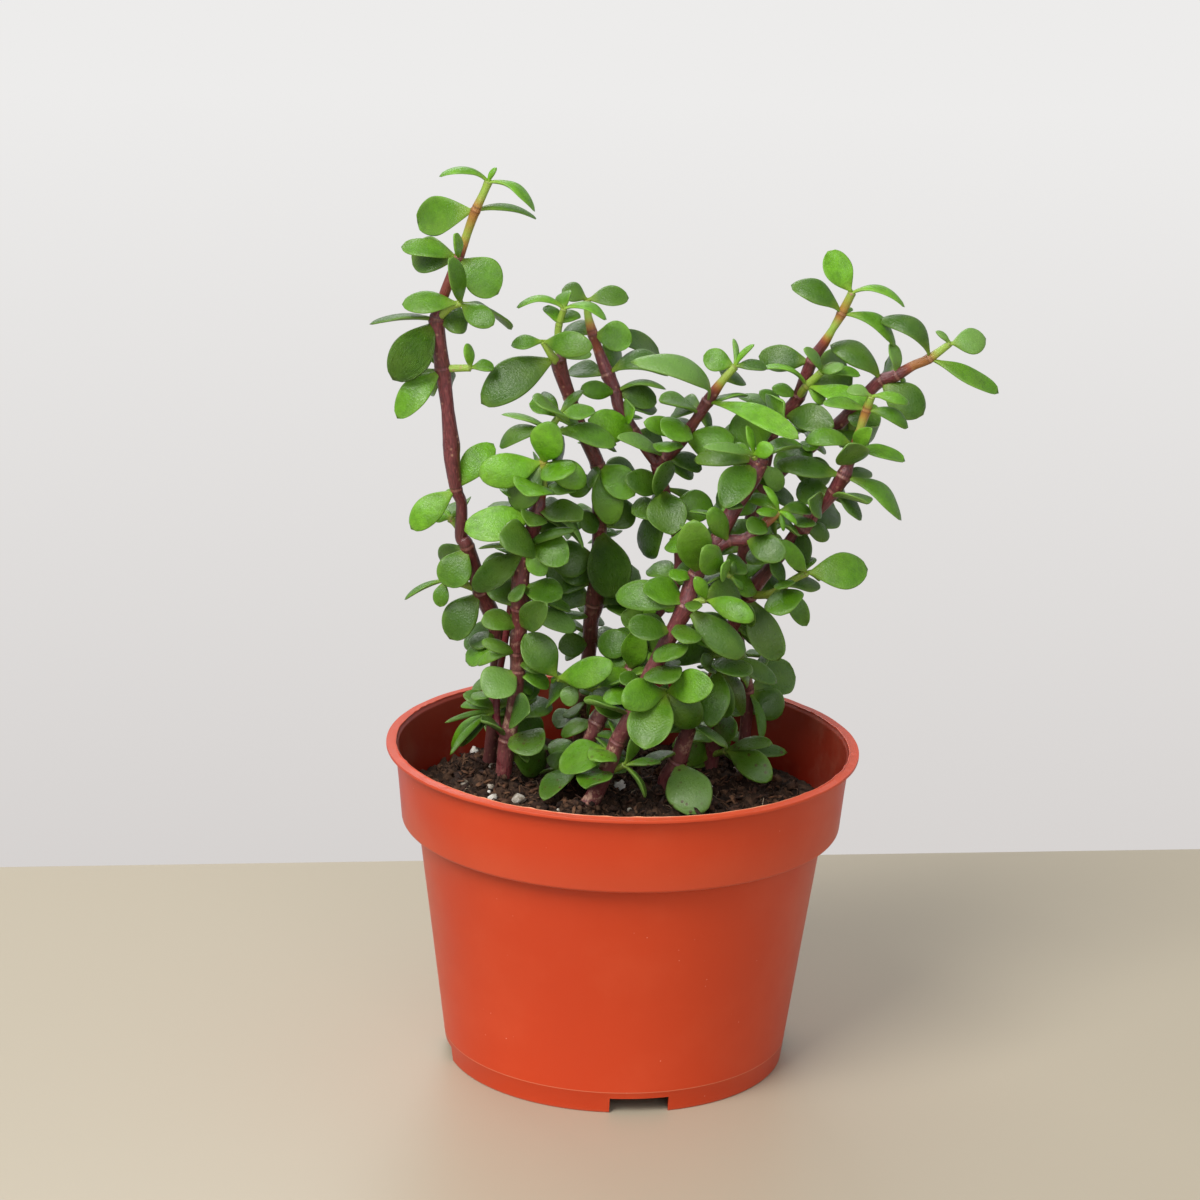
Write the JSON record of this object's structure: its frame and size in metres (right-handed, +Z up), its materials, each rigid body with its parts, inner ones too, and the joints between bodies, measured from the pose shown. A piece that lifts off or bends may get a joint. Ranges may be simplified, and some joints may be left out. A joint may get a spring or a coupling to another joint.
{
  "type": "potted elephant bush",
  "caption": "Leafy succulent cuttings standing in soil in a round tapered plastic nursery pot with a wide band and flat lip.",
  "frame": {"origin": "on the ground under the middle of the pot", "axes": "+Z up, front of the plant towards -Y, +X to the right seen from the front"},
  "size_m": [0.1419, 0.108, 0.2061],
  "materials": {
    "pot_plastic": "satin terracotta-coloured moulded plastic",
    "soil": "dark crumbly potting mix with bark chips and white grains",
    "leaf_and_stem": "smooth plump green leaves on maroon-brown stems"
  },
  "bodies": {
    "root": {"pot": "pot_plastic", "soil": "soil", "stem_front_left": "leaf_and_stem", "stem_tall_left": "leaf_and_stem", "stem_cut_middle": "leaf_and_stem", "stem_twin_middle": "leaf_and_stem", "stem_front_diagonal": "leaf_and_stem", "stem_right": "leaf_and_stem", "stem_back_right": "leaf_and_stem", "stem_front_right": "leaf_and_stem"}
  },
  "joints": []
}
